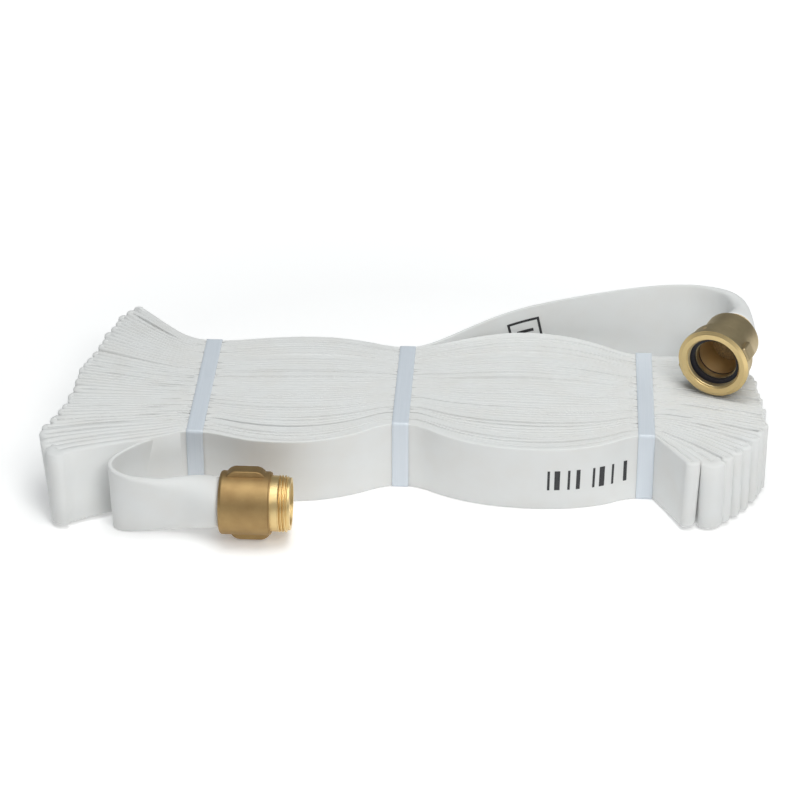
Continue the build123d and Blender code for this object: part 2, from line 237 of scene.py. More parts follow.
class Tail:
    """A free end: centres, directions and sections at even steps along its spline."""

    def __init__(self, route, start, step, leans, neck):
        line = spline_line(route)
        length = arc_lengths(line)[-1]
        self.arc = np.linspace(start, length, int((length - start) / step))
        self.centres = along(line, self.arc)
        tangents = normalised(along(line, self.arc + 0.002) - along(line, self.arc - 0.002))
        tangents[-1] = normalised(line[-1] - line[-2])
        level = normalised(np.cross([0, 0, 1], tangents))
        upright = np.cross(tangents, level)
        control_arc = [arc_lengths(line)[np.argmin(np.linalg.norm(line - p, axis=1))] for p in route]
        lean = np.radians(np.interp(self.arc, control_arc, leans))[:, None]
        self.ups = upright * np.cos(lean) + level * np.sin(lean)
        self.sides = level * np.cos(lean) - upright * np.sin(lean)
        before_end = length - self.arc
        distance, high, thick = np.array(neck).T
        self.high = np.interp(before_end, distance, high)
        self.thick = np.interp(before_end, distance, thick)
        self.before_end = before_end
        self.rounding = self.thick * 0.9
        self.roundness = smoothstep(0.0012, 0.0150, self.thick)

    def lift_over_bands(self):
        """Where a band passes under the hose its lower edge rises by the band's thickness."""
        under = near_band(self.centres[:, 0], 0.012) * (self.centres[:, 2] < Z_ON_FLOOR + 0.002)
        under *= (np.abs(self.sides[:, 1]) > 0.5) & (self.centres[:, 1] > -0.13)
        self.high = self.high - 0.0005 * under
        self.centres[:, 2] += 0.0004 * under

    def rings(self, end_points, side_points):
        return hose_rings(
            self.centres, self.sides, self.ups, self.high, self.thick, self.rounding, self.roundness,
            end_points, side_points,
        )

    def surface(self, arc, height, side, proud):
        """A point on one face, at an arc length and a height from the middle."""
        def value(column):
            return np.interp(arc, self.arc, column)

        centre = np.stack([value(self.centres[:, i]) for i in range(3)], axis=-1)
        across = np.stack([value(self.sides[:, i]) for i in range(3)], axis=-1)
        up = np.stack([value(self.ups[:, i]) for i in range(3)], axis=-1)
        return centre + up * height[..., None] + across * (side * (value(self.thick) + proud))[..., None]


FRONT_LEANS = [0, 0, 3, 5.5, 5, 3, 0, 0, 3, 5, 4.5, 1, 0, 0, 0]
LOOP_LEANS = [0, -3, -12, -17, -11]
MALE_NECK = [
    (0, ROUND_RADIUS - 0.0002, ROUND_RADIUS - 0.0002), (0.006, 0.0236, 0.0212), (0.018, 0.0256, 0.0180),
    (0.034, 0.0285, 0.0118), (0.055, 0.0312, 0.0062), (0.080, 0.0327, 0.0028), (0.110, HALF_WIDTH, 0.0017),
    (0.300, HALF_WIDTH, 0.0016), (0.700, HALF_WIDTH, 0.0016),
]
FEMALE_NECK = [
    (0, ROUND_RADIUS - 0.0002, ROUND_RADIUS - 0.0002), (0.008, 0.0240, 0.0200), (0.020, 0.0265, 0.0150),
    (0.036, 0.0290, 0.0095), (0.058, 0.0312, 0.0055), (0.090, 0.0325, 0.0026), (0.130, HALF_WIDTH, 0.0017),
    (0.600, HALF_WIDTH, 0.0015),
]
FEMALE_LEANS = [0] * len(REAR_LAYER) + [0, 2, 6, 10, 16, 24, 24, 14, 5, 0, 0, 0]
MALE_START = 0.010
male = Tail(MALE_ROUTE, MALE_START, 0.0045, FRONT_LEANS + LOOP_LEANS + [-4, 0], MALE_NECK)
female = Tail(FEMALE_ROUTE, 0.0, 0.0045, FEMALE_LEANS, FEMALE_NECK)
for tail in (male, female):
    tail.lift_over_bands()


def creased(tail, rings, reach, depth, along_waves, round_waves, upper_share):
    """Soft folds beside a coupling, pushed square to the flat faces, weaker above by upper_share."""
    turn = np.arange(rings.shape[1]) / rings.shape[1] * 2 * math.pi
    near = (1 - smoothstep(0.3 * reach, reach, tail.before_end)) * smoothstep(0, 0.010, tail.before_end)
    waves = np.sin(round_waves * turn[None] + along_waves * tail.before_end[:, None])
    waves += 0.5 * np.sin((2 * round_waves + 1) * turn[None] - 1.7 * along_waves * tail.before_end[:, None])
    from_middle = rings - tail.centres[:, None]
    face = np.sign(np.sum(from_middle * tail.sides[:, None], axis=2))
    height = np.sum(from_middle * tail.ups[:, None], axis=2) / tail.high[:, None]
    waves = waves * (1 - (1 - upper_share) * smoothstep(-0.5, 0.5, height))
    thin = np.minimum(1, tail.thick / 0.006)[:, None]
    return rings + (face * thin * near[:, None] * waves * depth)[..., None] * tail.sides[:, None]


def lowered_edge(tail, rings, middle_x, reach, drop):
    """The climbing ribbon's lower edge crumples down towards the pack, about one X."""
    near = np.exp(-((tail.centres[:, 0] - middle_x) / reach) ** 2) * (tail.centres[:, 2] > 0.06)
    height = (rings[:, :, 2] - tail.centres[:, None, 2]) / tail.high[:, None]
    dropped = rings.copy()
    dropped[:, :, 2] -= drop * near[:, None] * (1 - smoothstep(-1, 0.3, height))
    return dropped


NECK_END_POINTS = 9
NECK_SIDE_POINTS = 7
male_hose = tube_mesh(
    "male_end_hose",
    creased(male, male.rings(NECK_END_POINTS, NECK_SIDE_POINTS), 0.060, 0.0006, 30, 2, 1.0),
    male.arc,
)
female_hose = tube_mesh(
    "female_end_hose",
    creased(
        female, lowered_edge(female, female.rings(NECK_END_POINTS, NECK_SIDE_POINTS), 0.262, 0.035, 0.0045),
        0.170, 0.0022, 95, 2, 0.25,
    ),
    female.arc,
)
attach(male_hose, "hose")
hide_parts("male_tail_hose")
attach(female_hose, "hose")
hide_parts("female_tail_hose")


# ---------------------------------------------------------------- printed marks, plain shapes only
MARK_PROUD = 0.00012


def arc_at(tail, x, y_side):
    """Arc length where a tail passes this X, on its part in front of or behind the pack."""
    part = np.where(np.sign(tail.centres[:, 1]) == y_side)[0]
    if y_side < 0:
        part = part[tail.centres[part, 1] > -0.13]
    return tail.arc[part[np.argmin(np.abs(tail.centres[part, 0] - x))]]


def patch(tail, start, end, low, high, side):
    """Vertices and faces of a thin rectangle lying on one face of the hose."""
    columns = max(2, int(abs(end - start) / 0.002) + 1)
    arcs, heights = np.meshgrid(np.linspace(start, end, columns), np.linspace(low, high, 3), indexing="ij")
    points = tail.surface(arcs, heights, side, MARK_PROUD).reshape(-1, 3) - FOOTPRINT
    faces = [
        (i * 3 + j, (i + 1) * 3 + j, (i + 1) * 3 + j + 1, i * 3 + j + 1)
        for i in range(columns - 1) for j in range(2)
    ]
    return points, faces


def build_marks(name, tail, side, boxes):
    """Rectangles (start arc, end arc, low, high) joined in one mesh."""
    verts, faces = [], []
    for box in boxes:
        points, quads = patch(tail, *box, side)
        faces += [tuple(index + len(verts) for index in quad) for quad in quads]
        verts += points.tolist()
    mesh = bpy.data.meshes.new(name)
    mesh.from_pydata(verts, [], faces)
    mesh.update()
    piece = bpy.data.objects.new(name, mesh)
    bpy.context.scene.collection.objects.link(piece)
    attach(piece, "hose")
    return piece


# Upright bars on the front layer, in the place of its printed size.
BARS = [
    (0.1405, 0.0022), (0.1490, 0.0050), (0.1600, 0.0022),
    (0.1690, 0.0036), (0.1780, 0.0022), (0.1870, 0.0050),
    (0.1985, 0.0022), (0.2080, 0.0036),
]
BAR_LOW = -0.0115
BAR_HIGH = 0.0095
front_boxes = []
for bar_x, bar_width in BARS:
    place = arc_at(male, bar_x, -1)
    front_boxes.append((place, place + bar_width, BAR_LOW, BAR_HIGH))
front_marks = build_marks("size_bars", male, 1, front_boxes)
# A hollow rectangle with a bar in it, high on the climbing ribbon.
centre_arc = arc_at(female, 0.117, 1)
FRAME_HALF = 0.0155
FRAME_LINE = 0.0024
FRAME_LOW = -0.0060
FRAME_TOP = 0.0190
rear_marks = build_marks("ribbon_frame", female, -1, [
    (centre_arc - FRAME_HALF, centre_arc - FRAME_HALF + FRAME_LINE, FRAME_LOW, FRAME_TOP),
    (centre_arc + FRAME_HALF - FRAME_LINE, centre_arc + FRAME_HALF, FRAME_LOW, FRAME_TOP),
    (centre_arc - FRAME_HALF, centre_arc + FRAME_HALF, FRAME_TOP, FRAME_TOP + FRAME_LINE),
    (centre_arc - FRAME_HALF, centre_arc + FRAME_HALF, FRAME_LOW - FRAME_LINE, FRAME_LOW),
    (centre_arc - 0.0080, centre_arc + 0.0080, 0.0085, 0.0115),
])


# ---------------------------------------------------------------- the folded pack
LEFT_X = BAND_X["left_band"] - BAND_WIDTH / 2
RIGHT_X = BAND_X["right_band"] + BAND_WIDTH / 2
PACK_REAR_RIGHT = [
    (0.040, 0.0835), (0.072, 0.0985), (0.108, 0.1085), (0.150, 0.104), (0.184, 0.089), (0.212, 0.069),
    (0.240, 0.066),
]
# The folds' outer tips, from front to rear, and how far apart a fold's two layers lie there.
LEFT_TIPS = [
    (-0.3045, -0.1500), (-0.3105, -0.1325), (-0.3140, -0.1155), (-0.3140, -0.0990), (-0.3100, -0.0850),
    (-0.3045, -0.070), (-0.303, -0.040), (-0.301, -0.010), (-0.298, 0.020), (-0.293, 0.045),
    (-0.286, 0.066), (-0.280, 0.092), (-0.276, 0.114), (-0.264, 0.136),
]
LEFT_TIP_FOLDS = [0, 1, 2, 3, 4, 5, 8, 10, 13, 15, 17, 19, 21, 23]
RIGHT_TIPS = [
    (0.2675, -0.1365), (0.2895, -0.1335), (0.300, -0.1255), (0.309, -0.114), (0.318, -0.102),
    (0.326, -0.089), (0.331, -0.077), (0.334, -0.065), (0.333, -0.030), (0.330, 0.000), (0.326, 0.028),
    (0.316, 0.054),
]
RIGHT_TIP_FOLDS = [0, 1, 2, 3, 4, 5, 6, 7, 12, 16, 20, 23]
LEFT_GAPS = {0: 0.0135, 1: 0.0085, 2: 0.0078, 3: 0.0072}
RIGHT_GAPS = {0: 0.0080, 1: 0.0140, 2: 0.0072, 3: 0.0068, 4: 0.0064, 5: 0.0060}
# How far the tops of some folds lean out, along X and towards the front, from their middles.
LEFT_TIP_LEANS = {
    0: (-0.0020, -0.0075), 1: (-0.0040, -0.0055), 2: (-0.0045, -0.0040), 3: (-0.0045, -0.0030),
    4: (-0.0040, -0.0020), 5: (-0.0020, -0.0010),
}
RIGHT_TIP_LEANS = {0: (0.0012, 0.0)}
FOLDS = (LAYERS - 1) // 2
TIP_JITTER = 0.0018
NOTCH_REACH = 0.008
LEFT_STEPS = np.linspace(0, 1, 21) ** 1.7
RIGHT_STEPS = np.linspace(0, 1, 20) ** 1.7


def tip_places(tips, at_folds, gaps):
    """Each fold's tip, and the distance between its two layers there."""
    folds = np.arange(FOLDS)
    places = np.stack([np.interp(folds, at_folds, np.array(tips)[:, i]) for i in range(2)], axis=1)
    jitter = rng.uniform(-1, 1, FOLDS) * TIP_JITTER
    jitter[:len(gaps)] *= 0.3
    places[:, 0] += jitter
    spacing = np.linalg.norm(np.gradient(places, axis=0), axis=1)
    apart = 0.47 * spacing
    for fold, gap in gaps.items():
        apart[fold] = gap
    return places, apart


def middle_stations():
    stations = set(np.round(np.linspace(LEFT_X, RIGHT_X, 58), 5))
    for middle in BAND_X.values():
        for offset in (0.0075, 0.0088, 0.0105, 0.0125, 0.0155):
            for side in (-1, 1):
                stations.add(round(middle + side * offset, 5))
    return np.array(sorted(x for x in stations if LEFT_X <= x <= RIGHT_X))


def gap_shares(x):
    """How far each layer lies between the front and rear ones, for each x, without and with notches."""
    gaps = LAYERS - 1
    even = np.full(gaps, 1 / gaps)
    left, middle, right = BAND_X.values()
    shares = np.zeros((len(x), gaps))
    swell = bulge(x)
    for low, high in ((left, middle), (middle, right)):
        loose = rng.uniform(0.55, 1.6, gaps)
        loose /= loose.sum()
        inside = ((x >= low) & (x < high)).astype(float)
        blend = 0.62 * swell * inside
        shares += (inside[:, None] * (even[None] * (1 - blend[:, None]) + loose[None] * blend[:, None]))
    outside = (x < left) | (x >= right)
    shares[outside] = even
    notched = shares.copy()
    for middle in BAND_X.values():
        sizes = rng.integers(3, 7, gaps)
        edges = np.cumsum(sizes)
        notch = np.ones(gaps) * 0.82
        notch[edges[edges < gaps]] = 2.0
        notch /= notch.sum()
        beside = 1 - smoothstep(0.0005, NOTCH_REACH, np.abs(x - middle) - BAND_WIDTH / 2)
        weight = (0.8 * beside)[:, None]
        notched = notched * (1 - weight) + notch[None] * weight
    zero = np.zeros((len(x), 1))
    return [np.concatenate([zero, np.cumsum(part, axis=1)], axis=1) for part in (shares, notched)]


def fan(starts, notches, slopes, tips, apart, first_layer, outward, steps):
    """Layers from a band to their folds: {layer: points from the band outwards}, and each fold's turn."""
    lines, turns = {}, {}
    t = steps[:, None]
    for fold in range(FOLDS):
        front = first_layer + 2 * fold
        start = (starts[front] + starts[front + 1]) / 2
        knee = start + np.array([outward * 0.20 * abs(tips[fold][0] - start[0]), 0])
        direction = normalised(tips[fold] - knee)
        across = np.array([-direction[1], direction[0]])
        if across[1] < 0:
            across = -across
        radius = apart[fold] / 2
        centre = tips[fold] - direction * (radius + apart[fold] * 0.45)
        for layer, side in ((front, -1), (front + 1, 1)):
            end = centre + across * side * radius
            begin = starts[layer]
            reach = np.linalg.norm(end - begin)
            leave = normalised(np.array([outward, slopes[layer] * outward])) * reach * 0.85
            arrive = direction * reach * 1.1
            lines[layer] = (
                (2 * t**3 - 3 * t**2 + 1) * begin + (t**3 - 2 * t**2 + t) * leave
                + (-2 * t**3 + 3 * t**2) * end + (t**3 - t**2) * arrive
            )
            fading = 1 - smoothstep(0.0005, NOTCH_REACH, np.abs(lines[layer][:, 0] - begin[0]))
            lines[layer] = lines[layer] + fading[:, None] * notches[layer]
        angles = np.linspace(0, math.pi, 9)[1:-1, None]
        turns[fold] = centre + radius * (np.sin(angles) * direction - np.cos(angles) * across)
    return lines, turns


def spaced(points_a, points_b):
    """Distance between two neighbouring layers' middles, square to them, station by station."""
    tangent = normalised(np.gradient((points_a + points_b) / 2, axis=0))
    offset = points_b - points_a
    return np.abs(offset[:, 0] * tangent[:, 1] - offset[:, 1] * tangent[:, 0])


def wandering(count, knots, low, high):
    """A smooth random line."""
    values = rng.uniform(low, high, knots)
    at = np.linspace(0, knots - 1, count)
    index = np.minimum(at.astype(int), knots - 2)
    share = at - index
    share = share * share * (3 - 2 * share)
    return values[index] * (1 - share) + values[index + 1] * share


# How the layers of the pack fill their room, in metres but for the share.
ROOM_OUTSIDE = 0.0026
WIDEST_OPENING = 0.0026
CLOSED_OPENING = 0.00005
OPEN_SHARE = 0.30
LAST_TIGHT = 4
GROUP_RISE = 0.0026
LAYER_RISE = 0.00012
THINNEST_HALF = 0.0009
ROUNDEST = 0.0018
# The bands press the layers' edges in over this reach.
BAND_REACH = 0.010
BAND_SQUEEZE = 0.0005
BAND_LIFT = 0.0004


def build_pack():
    """The folded hose as one ribbon, from the first right fold to the last left one."""
    x = middle_stations()
    front_line = male.centres[(male.centres[:, 0] > -0.24) & (male.centres[:, 1] > -0.13)]
    order = np.argsort(front_line[:, 0])
    front_y = np.interp(x, front_line[order, 0], front_line[order, 1])
    rear_line = spline_line([(px, py, 0) for px, py in REAR_LAYER + PACK_REAR_RIGHT])
    rear_y = np.interp(x, rear_line[:, 0], rear_line[:, 1])
    shares, notched = gap_shares(x)
    room_y = (rear_y - front_y)[:, None]
    plain_y = front_y[:, None] + shares * room_y
    middle_y = front_y[:, None] + notched * room_y
    middle = {k + 1: np.stack([x, middle_y[:, k]], axis=1) for k in range(LAYERS)}
    plain = {k + 1: np.stack([x, plain_y[:, k]], axis=1) for k in range(LAYERS)}
    left_tips, left_apart = tip_places(LEFT_TIPS, LEFT_TIP_FOLDS, LEFT_GAPS)
    right_tips, right_apart = tip_places(RIGHT_TIPS, RIGHT_TIP_FOLDS, RIGHT_GAPS)
    left_starts = {k: plain[k][0] for k in middle}
    right_starts = {k: plain[k][-1] for k in middle}
    left_notches = {k: middle[k][0] - plain[k][0] for k in middle}
    right_notches = {k: middle[k][-1] - plain[k][-1] for k in middle}
    depth = np.arange(LAYERS + 1) / LAYERS
    left_slopes = {k: 0.15 * (1 - depth[k]) + 0.80 * math.exp(-(k - 2) / 4) for k in middle}
    right_slopes = {k: -0.10 * (1 - depth[k]) - 1.60 * math.exp(-(k - 1) / 4) for k in middle}
    left_lines, left_turns = fan(
        left_starts, left_notches, left_slopes, left_tips, left_apart, 2, -1, LEFT_STEPS
    )
    right_lines, right_turns = fan(
        right_starts, right_notches, right_slopes, right_tips, right_apart, 1, 1, RIGHT_STEPS
    )

    # Whole layers, left tip to right tip. The first and the last have no left or right end of their own.
    layers = {}
    for k in range(1, LAYERS + 1):
        left = left_lines[k][::-1][:-1] if k in left_lines else np.zeros((0, 2))
        right = right_lines[k][1:] if k in right_lines else np.zeros((0, 2))
        layers[k] = (left, middle[k], right)

    def fill(k, part, limit):
        """Middles moved and half thicknesses so that each layer fills its share of the room."""
        points = layers[k][part]
        room = []
        for other in (k - 1, k + 1):
            if 1 <= other <= LAYERS and len(layers[other][part]) == len(points):
                gap = spaced(points, layers[other][part]) / 2
            else:
                gap = np.full(len(points), ROOM_OUTSIDE)
            room.append(np.minimum(gap - openings[(min(k, other), part)] / 2, limit))
        tangent = normalised(np.gradient(points, axis=0))
        normal = np.stack([-tangent[:, 1], tangent[:, 0]], axis=1)
        shift = (room[1] - room[0]) / 2
        return points + normal * shift[:, None], (room[0] + room[1]) / 2

    sizes = [len(LEFT_STEPS) - 1, len(x), len(RIGHT_STEPS) - 1]
    out_left = LEFT_STEPS[::-1][:-1]
    out_right = RIGHT_STEPS[1:]
    openings = {}
    for k in range(0, LAYERS + 1):
        for part, count in enumerate(sizes):
            widest = WIDEST_OPENING if rng.random() < OPEN_SHARE else CLOSED_OPENING
            if k <= LAST_TIGHT and part != 1:
                widest = 0.0
            openings[(k, part)] = np.clip(wandering(count, 7, -0.6, 1.0), 0, 1) * widest
    limits = [
        0.0017 + 0.0019 * out_left,
        0.0016 + 0.0011 * bulge(x),
        0.0017 + 0.0019 * out_right,
    ]
    puffed = {(1, 2): 0.0010, (2, 2): 0.0012, (3, 2): 0.0062, (4, 2): 0.0062, (2, 0): 0.0040, (3, 0): 0.0040}

    # Heights: small groups of layers stand a little higher or lower than their neighbours.
    heights = {}
    level = np.zeros(3)
    left_in_group = 0
    for k in range(1, LAYERS + 1):
        if left_in_group == 0:
            level = rng.uniform(0, GROUP_RISE, 3)
            left_in_group = rng.integers(2, 6)
        left_in_group -= 1
        own = rng.uniform(0, LAYER_RISE, 3)
        heights[k] = [
            (0.1 + 1.4 * out_left) * (level[0] + own[0]),
            bulge(x) * (level[1] + own[1]),
            (0.1 + 1.4 * out_right) * (level[2] + own[2]),
        ]

    # Most layers' edges lie close together as one smooth top. A few are rounder and show as soft lines.
    softness = {k: 0.75 if rng.random() < 0.22 else rng.uniform(0.10, 0.26) for k in range(1, LAYERS + 1)}

    def layer_columns(k, part):
        limit = limits[part]
        if part == 0:
            limit = limit + puffed.get((k, part), 0) * out_left ** 2
        if part == 2:
            limit = limit + puffed.get((k, part), 0) * out_right ** 1.2
        points, half = fill(k, part, limit)
        share = (k - 1) / (LAYERS - 1)
        lean = np.zeros((len(points), 2))
        if part == 1:
            lean[:, 1] = 0.0055 * bulge(x) * (1 - share) ** 1.5
        elif part == 0:
            lean += out_left[:, None] ** 1.3 * LEFT_TIP_LEANS.get((k - 2) // 2, (0, 0))
        else:
            lean += out_right[:, None] ** 1.3 * RIGHT_TIP_LEANS.get((k - 1) // 2, (0, 0))
        soft = np.full(len(points), softness[k])
        if part != 1:
            soft += (0.7 - soft) * 0.8 * (out_left if part == 0 else out_right) ** 1.2
        return [points, half, heights[k][part], lean, soft]

    columns = [[], [], [], [], []]

    def add(block):
        for column, values in zip(columns, block):
            column.append(values)

    def add_turn(points, k, after, apart, part):
        count = len(points)
        tip = 0 if part == 0 else -1
        tip_height = (heights[k][part][tip] + heights[after][part][tip]) / 2
        leans = LEFT_TIP_LEANS if part == 0 else RIGHT_TIP_LEANS
        fold = (k - 2) // 2 if part == 0 else (k - 1) // 2
        lean = np.zeros((count, 2)) + leans.get(fold, (0, 0))
        add([points, np.full(count, apart * 0.46), np.full(count, tip_height), lean, np.full(count, 0.66)])

    def part_of(k, part, forwards):
        block = layer_columns(k, part)
        return block if forwards else [values[::-1] for values in block]

    # The first layer's own right end starts where the male end's hose stops.
    stub_front = (x > BAND_X["right_band"] - 0.0005)
    block = layer_columns(1, 1)
    add([values[stub_front] for values in block])
    add(part_of(1, 2, True))
    for k in range(2, LAYERS):
        goes_left = k % 2 == 0
        came_from = (k - 2) // 2
        if goes_left:
            add_turn(right_turns[came_from], k - 1, k, right_apart[came_from], 2)
            for part in (2, 1, 0):
                add(part_of(k, part, False))
        else:
            add_turn(left_turns[came_from], k - 1, k, left_apart[came_from], 0)
            for part in (0, 1, 2):
                add(part_of(k, part, True))
    add_turn(left_turns[FOLDS - 1], LAYERS - 1, LAYERS, left_apart[FOLDS - 1], 0)
    add(part_of(LAYERS, 0, True))
    stub_rear = x < BAND_X["left_band"] + 0.0005
    block = layer_columns(LAYERS, 1)
    add([values[stub_rear] for values in block])

    points, half, height, lean, soft = (np.concatenate(column) for column in columns)
    keep = np.concatenate([[True], np.linalg.norm(np.diff(points, axis=0), axis=1) > 0.0004])
    points, half, height, lean, soft = (values[keep] for values in (points, half, height, lean, soft))
    half = np.maximum(half, THINNEST_HALF)
    tangent = normalised(np.gradient(points, axis=0))
    flat_side = np.stack([-tangent[:, 1], tangent[:, 0]], axis=1)
    sides = np.column_stack([flat_side, np.zeros(len(points))])
    # Lean is a shift of the top, out along X and towards the front, so it doesn't turn with the layer.
    ups = normalised(np.column_stack([
        lean[:, 0] / HALF_WIDTH, -lean[:, 1] / HALF_WIDTH, np.ones(len(points)),
    ]))
    under = near_band(points[:, 0], BAND_REACH)
    high = HALF_WIDTH - BAND_SQUEEZE * under
    centres = np.column_stack([points, HALF_WIDTH + BAND_LIFT * under + np.maximum(height, 0)])
    rings = hose_rings(
        centres, sides, ups, high, half, np.minimum(half * soft, ROUNDEST), np.zeros(len(points)),
        END_POINTS, SIDE_POINTS
    )
    return tube_mesh("folded_hose", rings, arc_lengths(points))


pack = build_pack()
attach(pack, "hose")
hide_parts("folded_hose_pack")


# ---------------------------------------------------------------- bands
BAND_CLEARANCE = 0.0004
OUTER_HALF = 0.0016
BAND_BOTTOM = 0.0002
BAND_TOP = HOSE_WIDTH + 0.0004
BAND_CORNER = 0.0022
BAND_STEP = 0.004
RIPPLE_LENGTH = 0.0125
RIPPLE_HEIGHT = 0.00025


def band_loop(front, rear):
    """The band's inner path round the pack as (y, z) points, with rounded corners."""
    corner = BAND_CORNER
    corners = [
        ((front + corner, BAND_BOTTOM + corner), math.pi * 1.5, math.pi),
        ((front + corner, BAND_TOP - corner), math.pi, math.pi * 0.5),
        ((rear - corner, BAND_TOP - corner), math.pi * 0.5, 0),
        ((rear - corner, BAND_BOTTOM + corner), 0, -math.pi * 0.5),
    ]
    path = []
    for (middle_y, middle_z), begin, end in corners:
        for angle in np.linspace(begin, end, 6):
            path.append((middle_y + corner * math.cos(angle), middle_z + corner * math.sin(angle)))
    path = np.array(path + [path[0]])
    at = arc_lengths(path)
    dense = np.unique(np.concatenate([at, np.arange(0, at[-1], BAND_STEP)]))
    loop = np.stack([np.interp(dense, at, path[:, 0]), np.interp(dense, at, path[:, 1])], axis=1)
    return loop[:-1]


def build_band(name):
    """A thin band round the pack, just clear of the outer layers' faces, rippled on top."""
    middle = BAND_X[name]
    columns = np.linspace(-BAND_WIDTH / 2, BAND_WIDTH / 2, 7)
    front_line = male.centres[(male.centres[:, 0] > -0.24) & (male.centres[:, 1] > -0.13)]
    order = np.argsort(front_line[:, 0])
    rear_line = spline_line([(px, py, 0) for px, py in REAR_LAYER + PACK_REAR_RIGHT])
    outside_layers = OUTER_HALF + BAND_CLEARANCE
    front_y = np.interp(middle + columns, front_line[order, 0], front_line[order, 1])
    rear_y = np.interp(middle + columns, rear_line[:, 0], rear_line[:, 1])
    loop = band_loop(front_y.min() - outside_layers, rear_y.max() + outside_layers)
    count = len(loop)
    grid = np.zeros((len(columns), count, 3))
    for index, offset in enumerate(columns):
        grid[index, :, 0] = middle + offset
        grid[index, :, 1:] = loop
    on_top = (grid[:, :, 2] > BAND_TOP - 0.0005)
    phase = grid[:, :, 1] * 2 * math.pi / RIPPLE_LENGTH + 0.7 * np.sin(grid[:, :, 1] * 90)
    ripple = RIPPLE_HEIGHT * np.sin(phase)
    edge = np.abs(grid[:, :, 0] - middle) / (BAND_WIDTH / 2)
    grid[:, :, 2] += on_top * ripple * (0.4 + 0.6 * edge)
    step = np.roll(grid, -1, axis=1) - np.roll(grid, 1, axis=1)
    normal = normalised(np.cross(np.array([1.0, 0, 0]), step))
    centre = grid.reshape(-1, 3).mean(axis=0)
    facing = np.sum(normal * (grid - centre), axis=2, keepdims=True)
    normal = np.where(facing < 0, -normal, normal)
    outer = grid + normal * BAND_THICKNESS
    verts = np.concatenate([grid.reshape(-1, 3), outer.reshape(-1, 3)])
    width = len(columns)

    def inside(i, j):
        return i * count + j % count

    def outside(i, j):
        return width * count + inside(i, j)

    faces = []
    for j in range(count):
        for i in range(width - 1):
            faces.append((outside(i, j), outside(i + 1, j), outside(i + 1, j + 1), outside(i, j + 1)))
            faces.append((inside(i, j + 1), inside(i + 1, j + 1), inside(i + 1, j), inside(i, j)))
        faces.append((inside(0, j), outside(0, j), outside(0, j + 1), inside(0, j + 1)))
        faces.append((
            outside(width - 1, j), inside(width - 1, j), inside(width - 1, j + 1), outside(width - 1, j + 1),
        ))
    mesh = bpy.data.meshes.new(name)
    mesh.from_pydata((verts - FOOTPRINT).tolist(), [], faces)
    mesh.polygons.foreach_set("use_smooth", [True] * len(mesh.polygons))
    mesh.update()
    piece = bpy.data.objects.new(name.replace("_band", "_strap"), mesh)
    bpy.context.scene.collection.objects.link(piece)
    rounding = piece.modifiers.new("edges", "BEVEL")
    rounding.width = 0.00015
    rounding.segments = 1
    rounding.limit_method = "ANGLE"
    return piece


bands = {}
for band_name in BAND_X:
    bands[band_name] = build_band(band_name)
    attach(bands[band_name], "hose")
    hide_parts(band_name)


# ---------------------------------------------------------------- materials
def new_material(name, colour, roughness, metallic=0.0):
    material = bpy.data.materials.new(name)
    material.use_nodes = True
    shader = material.node_tree.nodes["Principled BSDF"]
    shader.inputs["Base Color"].default_value = (*colour, 1)
    shader.inputs["Roughness"].default_value = roughness
    shader.inputs["Metallic"].default_value = metallic
    return material, shader


def add_node(material, kind, **settings):
    node = material.node_tree.nodes.new(kind)
    for key, value in settings.items():
        if key in node.inputs:
            node.inputs[key].default_value = value
        else:
            setattr(node, key, value)
    return node


def join(material, source, target):
    material.node_tree.links.new(source, target)


def noise(material, scale, detail, vector):
    node = add_node(material, "ShaderNodeTexNoise", Scale=scale, Detail=detail)
    join(material, vector, node.inputs["Vector"])
    return node.outputs["Fac"]


def ramp(material, factor, stops):
    node = add_node(material, "ShaderNodeValToRGB")
    elements = node.color_ramp.elements
    while len(elements) < len(stops):
        elements.new(0.5)
    for element, (position, colour) in zip(elements, stops):
        element.position = position
        element.color = (*colour, 1)
    join(material, factor, node.inputs["Fac"])
    return node.outputs["Color"]


def maths(material, operation, a, b=None):
    node = add_node(material, "ShaderNodeMath", operation=operation)
    for socket, value in zip(node.inputs, (a, b)):
        if value is None:
            continue
        if isinstance(value, (int, float)):
            socket.default_value = value
        else:
            join(material, value, socket)
    return node.outputs[0]


def bump(material, shader, height, strength, distance):
    node = add_node(material, "ShaderNodeBump", Strength=strength, Distance=distance)
    join(material, height, node.inputs["Height"])
    join(material, node.outputs["Normal"], shader.inputs["Normal"])


